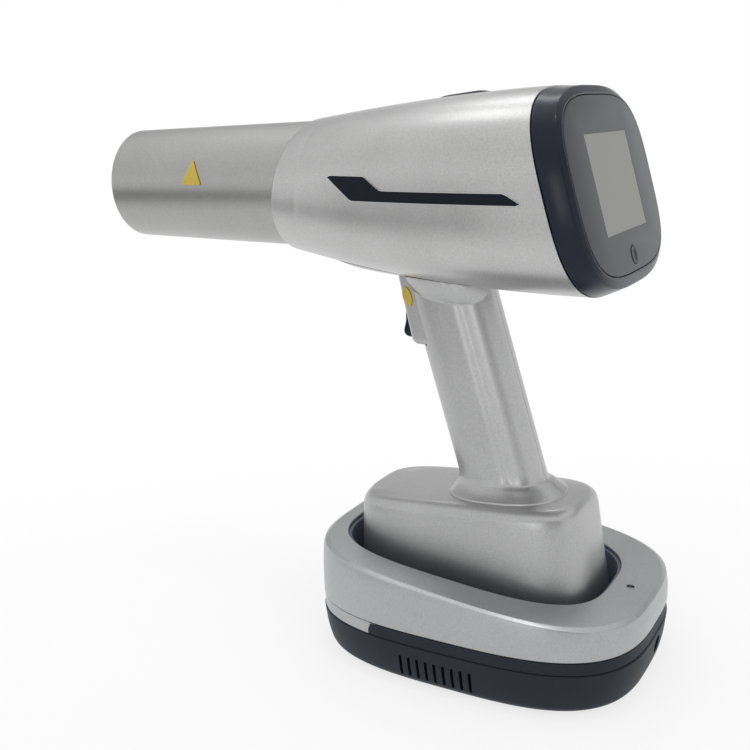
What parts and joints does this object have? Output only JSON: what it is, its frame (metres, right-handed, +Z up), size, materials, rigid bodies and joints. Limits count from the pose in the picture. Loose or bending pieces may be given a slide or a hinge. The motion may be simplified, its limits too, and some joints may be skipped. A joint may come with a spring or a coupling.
{
  "type": "handheld dental x-ray unit",
  "caption": "Gun-shaped dental x-ray unit with a round beam cone, tilted rear display, trigger grip and battery foot, standing in a rounded charging dock it lifts out of.",
  "frame": {"origin": "on the table under the centre of the dock", "axes": "+Z up, the beam cone points along -X, the display faces +X and upwards"},
  "size_m": [0.326, 0.14, 0.3053],
  "materials": {
    "silver_paint": "satin metallic silver paint over moulded plastic",
    "black_plastic": "satin blue-black moulding",
    "screen_glass": "dark grey panel glass, satin",
    "display": "grey unlit display",
    "rubber": "matt",
    "circuit_board": "green solder mask",
    "steel": "bright",
    "brass": "polished contacts",
    "lead_metal": "dull lead grey",
    "aluminium": "turned",
    "copper": "copper",
    "tube_glass": "clear",
    "cell_wrap": "blue shrink wrap",
    "inner_plastic": "moulded",
    "light_pipe": "smoked clear",
    "yellow_marker": "satin yellow"
  },
  "bodies": {
    "dock": {"dock_top_shell": "silver_paint", "dock_well_liner": "black_plastic", "dock_front_band": "silver_paint", "dock_rear_band": "black_plastic", "dock_base_tub": "black_plastic", "dock_foot_1": "rubber", "dock_foot_2": "rubber", "dock_foot_3": "rubber", "dock_foot_4": "rubber", "dock_screw_1": "steel", "dock_screw_2": "steel", "dock_board": "circuit_board", "dock_pin_block": "inner_plastic", "dc_jack": "inner_plastic", "dock_light_pipe": "light_pipe"},
    "handset": {"foot_shell": "silver_paint", "foot_base": "silver_paint", "contact_pad_left": "brass", "contact_pad_right": "brass", "cell_tray": "inner_plastic", "battery_cell_1": "cell_wrap", "battery_cell_2": "cell_wrap", "battery_cell_3": "cell_wrap", "battery_cell_4": "cell_wrap", "battery_board": "circuit_board", "grip_shell_left": "silver_paint", "grip_shell_right": "silver_paint", "trigger_housing": "silver_paint", "trigger_pin": "steel", "trigger_spring": "steel", "trigger_switch": "inner_plastic", "trigger_marker": "yellow_marker", "body_shell_left": "silver_paint", "body_shell_right": "silver_paint", "belly_cover": "silver_paint", "side_stripe_left": "black_plastic", "side_stripe_right": "black_plastic", "top_window": "black_plastic", "cone_tube": "silver_paint", "cone_liner": "lead_metal", "collimator": "lead_metal", "cone_marker": "yellow_marker", "front_bulkhead": "inner_plastic", "rear_bulkhead": "inner_plastic", "generator_tank": "aluminium", "tank_cover": "inner_plastic", "xray_tube": "tube_glass", "anode_block": "copper", "drive_board": "circuit_board", "bezel": "black_plastic", "screen_glass": "screen_glass", "display_module": "display", "control_board": "circuit_board", "button_switch": "inner_plastic", "power_lead": "rubber"},
    "trigger": {"trigger": "black_plastic"},
    "power_button": {"power_button": "black_plastic"},
    "charge_pin_left": {"charge_pin_left": "brass"},
    "charge_pin_right": {"charge_pin_right": "brass"}
  },
  "joints": [
    {"name": "handset_lift", "type": "slide", "parent": "dock", "child": "handset", "axis": [0, 0, 1], "range_m": [0, 0.08]},
    {"name": "trigger_pull", "type": "hinge", "parent": "handset", "child": "trigger", "pos_m": [-0.04289, 0, 0.1904], "axis": [0, -1, 0], "range_deg": [0, 10], "stiffness_Nm_per_rad": 0.3},
    {"name": "power_button_press", "type": "slide", "parent": "handset", "child": "power_button", "axis": [-0.9651, 0, -0.2619], "range_m": [0, 0.0006], "stiffness_N_per_m": 800},
    {"name": "charge_pin_left_press", "type": "slide", "parent": "dock", "child": "charge_pin_left", "axis": [0, 0, -1], "range_m": [0, 0.0015], "stiffness_N_per_m": 300},
    {"name": "charge_pin_right_press", "type": "slide", "parent": "dock", "child": "charge_pin_right", "axis": [0, 0, -1], "range_m": [0, 0.0015], "stiffness_N_per_m": 300}
  ]
}
